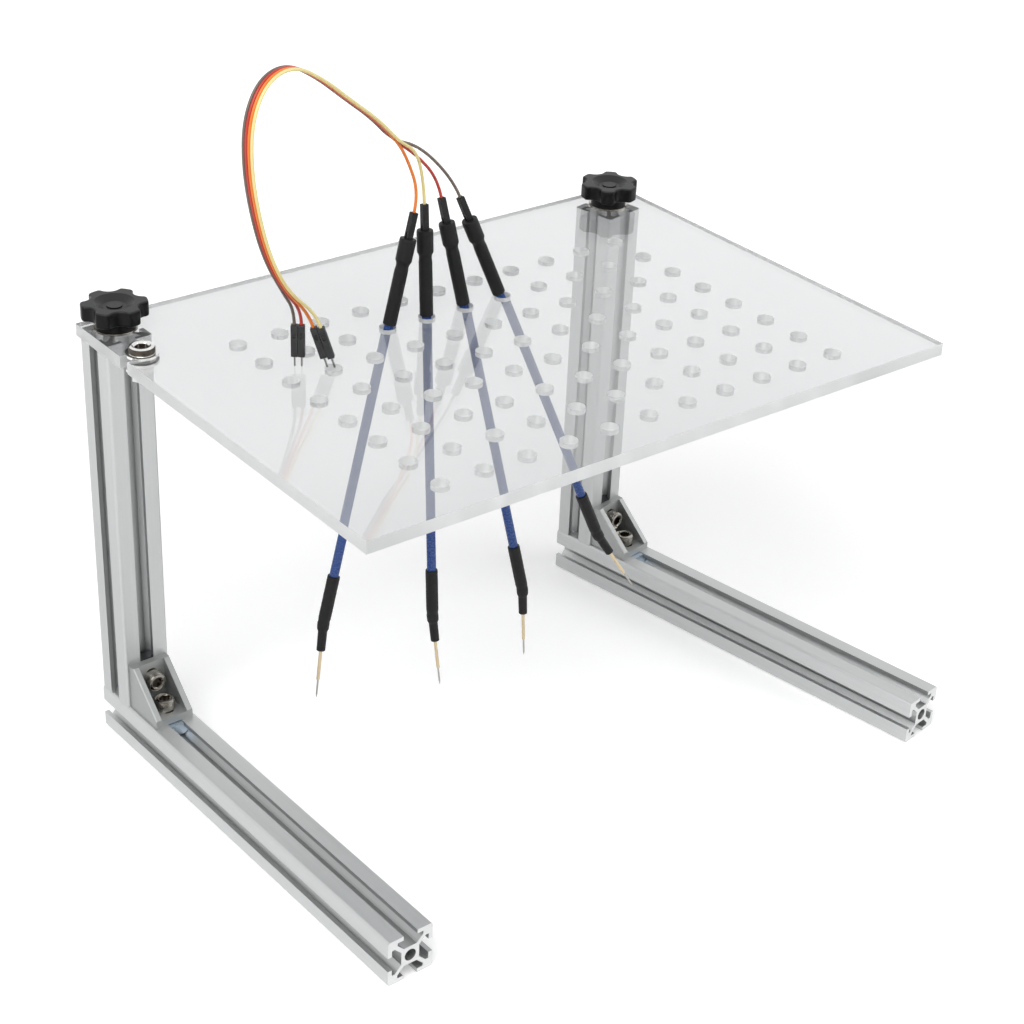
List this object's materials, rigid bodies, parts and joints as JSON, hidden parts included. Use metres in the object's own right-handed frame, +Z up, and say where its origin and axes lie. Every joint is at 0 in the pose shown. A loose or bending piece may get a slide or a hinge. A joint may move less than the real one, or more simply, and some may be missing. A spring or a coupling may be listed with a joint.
{
  "type": "probe frame",
  "caption": "Bench frame with a clear, hole-gridded plate on two slotted-profile legs, holding hanging needle probes wired to a flat lead over a circuit board.",
  "frame": {"origin": "on the floor, in the middle of the footprint", "axes": "+Z up, +X along the plate's back edge to the right, -Y to the front, where the feet point"},
  "size_m": [0.2927, 0.2057, 0.3014],
  "materials": {
    "aluminium_profile": "satin anodised, fine lengthwise grain",
    "cast_bracket": "matt blasted casting",
    "bright_screw": "bright nickel plate",
    "blue_zinc": "zinc plate with a blue cast",
    "clear_plate": "clear acrylic, polished faces, fine-sawn edges",
    "black_knob": "black, semi-gloss",
    "steel": "plain turned steel",
    "blue_tube": "saturated blue, semi-gloss",
    "black_sleeve": "matt black shrink sleeve",
    "black_housing": "black moulding",
    "gold": "gold-plated brass",
    "copper_core": "bare copper",
    "brown_wire": "brown cover",
    "red_wire": "red cover",
    "orange_wire": "orange cover",
    "yellow_wire": "pale yellow cover"
  },
  "bodies": {
    "plate": {"probe_plate": "clear_plate", "clamp_screw": "bright_screw", "clamp_washers": "bright_screw", "clamp_nut": "steel", "left_knob_washer": "bright_screw", "right_knob_washer": "bright_screw", "end_housing_brown": "black_housing", "end_housing_red": "black_housing", "end_housing_orange": "black_housing", "end_housing_yellow": "black_housing", "end_pins": "gold", "wire_brown": "brown_wire", "wire_red": "red_wire", "wire_orange": "orange_wire", "wire_yellow": "yellow_wire"},
    "left_leg": {"left_foot_rail": "aluminium_profile", "left_upright": "aluminium_profile", "left_corner_bracket": "cast_bracket", "left_bracket_screws": "bright_screw", "left_slot_nuts": "blue_zinc"},
    "left_knob": {"left_star_knob": "black_knob", "left_knob_stud": "steel"},
    "right_leg": {"right_foot_rail": "aluminium_profile", "right_upright": "aluminium_profile", "right_corner_bracket": "cast_bracket", "right_bracket_screws": "bright_screw", "right_slot_nuts": "blue_zinc"},
    "right_knob": {"right_star_knob": "black_knob", "right_knob_stud": "steel"},
    "probe_1": {"probe_1_upper_sleeve": "black_sleeve", "probe_1_socket": "black_housing", "probe_1_tube": "blue_tube", "probe_1_core": "copper_core", "probe_1_lower_sleeve": "black_sleeve", "probe_1_barrel": "gold"},
    "needle_1": {"probe_1_needle": "gold"},
    "probe_2": {"probe_2_upper_sleeve": "black_sleeve", "probe_2_socket": "black_housing", "probe_2_tube": "blue_tube", "probe_2_core": "copper_core", "probe_2_lower_sleeve": "black_sleeve", "probe_2_barrel": "gold"},
    "needle_2": {"probe_2_needle": "gold"},
    "probe_3": {"probe_3_upper_sleeve": "black_sleeve", "probe_3_socket": "black_housing", "probe_3_tube": "blue_tube", "probe_3_core": "copper_core", "probe_3_lower_sleeve": "black_sleeve", "probe_3_barrel": "gold"},
    "needle_3": {"probe_3_needle": "gold"},
    "probe_4": {"probe_4_upper_sleeve": "black_sleeve", "probe_4_socket": "black_housing", "probe_4_tube": "blue_tube", "probe_4_core": "copper_core", "probe_4_lower_sleeve": "black_sleeve", "probe_4_barrel": "gold"},
    "needle_4": {"probe_4_needle": "gold"}
  },
  "joints": [
    {"name": "left_leg_turn", "type": "hinge", "parent": "plate", "child": "left_leg", "pos_m": [-0.1337, 0.0899, 0.18], "axis": [0, 0, 1], "range_deg": [-45, 28]},
    {"name": "right_leg_turn", "type": "hinge", "parent": "plate", "child": "right_leg", "pos_m": [0.1053, 0.0859, 0.18], "axis": [0, 0, 1], "range_deg": [-38, 36]},
    {"name": "left_knob_turn", "type": "hinge", "parent": "left_leg", "child": "left_knob", "pos_m": [-0.1337, 0.0899, 0.185], "axis": [0, 0, 1], "continuous": true},
    {"name": "right_knob_turn", "type": "hinge", "parent": "right_leg", "child": "right_knob", "pos_m": [0.1053, 0.0859, 0.185], "axis": [0, 0, 1], "continuous": true},
    {"name": "probe_1_slide", "type": "slide", "parent": "plate", "child": "probe_1", "axis": [0.2517, 0.0145, 0.9677], "range_m": [0, 0.012], "deforming": ["wire_orange"]},
    {"name": "probe_2_slide", "type": "slide", "parent": "plate", "child": "probe_2", "axis": [0.0138, 0.0825, 0.9965], "range_m": [0, 0.012], "deforming": ["wire_yellow"]},
    {"name": "probe_3_slide", "type": "slide", "parent": "plate", "child": "probe_3", "axis": [-0.1608, 0.1423, 0.9767], "range_m": [0, 0.012], "deforming": ["wire_red"]},
    {"name": "probe_4_slide", "type": "slide", "parent": "plate", "child": "probe_4", "axis": [-0.3506, 0.1452, 0.9252], "range_m": [0, 0.012], "deforming": ["wire_brown"]},
    {"name": "needle_1_press", "type": "slide", "parent": "probe_1", "child": "needle_1", "axis": [0.1656, 0.0842, 0.9826], "range_m": [0, 0.004], "stiffness_N_per_m": 300},
    {"name": "needle_2_press", "type": "slide", "parent": "probe_2", "child": "needle_2", "axis": [-0.0469, 0.1317, 0.9902], "range_m": [0, 0.004], "stiffness_N_per_m": 300},
    {"name": "needle_3_press", "type": "slide", "parent": "probe_3", "child": "needle_3", "axis": [-0.04, 0.0445, 0.9982], "range_m": [0, 0.004], "stiffness_N_per_m": 300},
    {"name": "needle_4_press", "type": "slide", "parent": "probe_4", "child": "needle_4", "axis": [-0.4769, 0.2475, 0.8434], "range_m": [0, 0.004], "stiffness_N_per_m": 300}
  ]
}
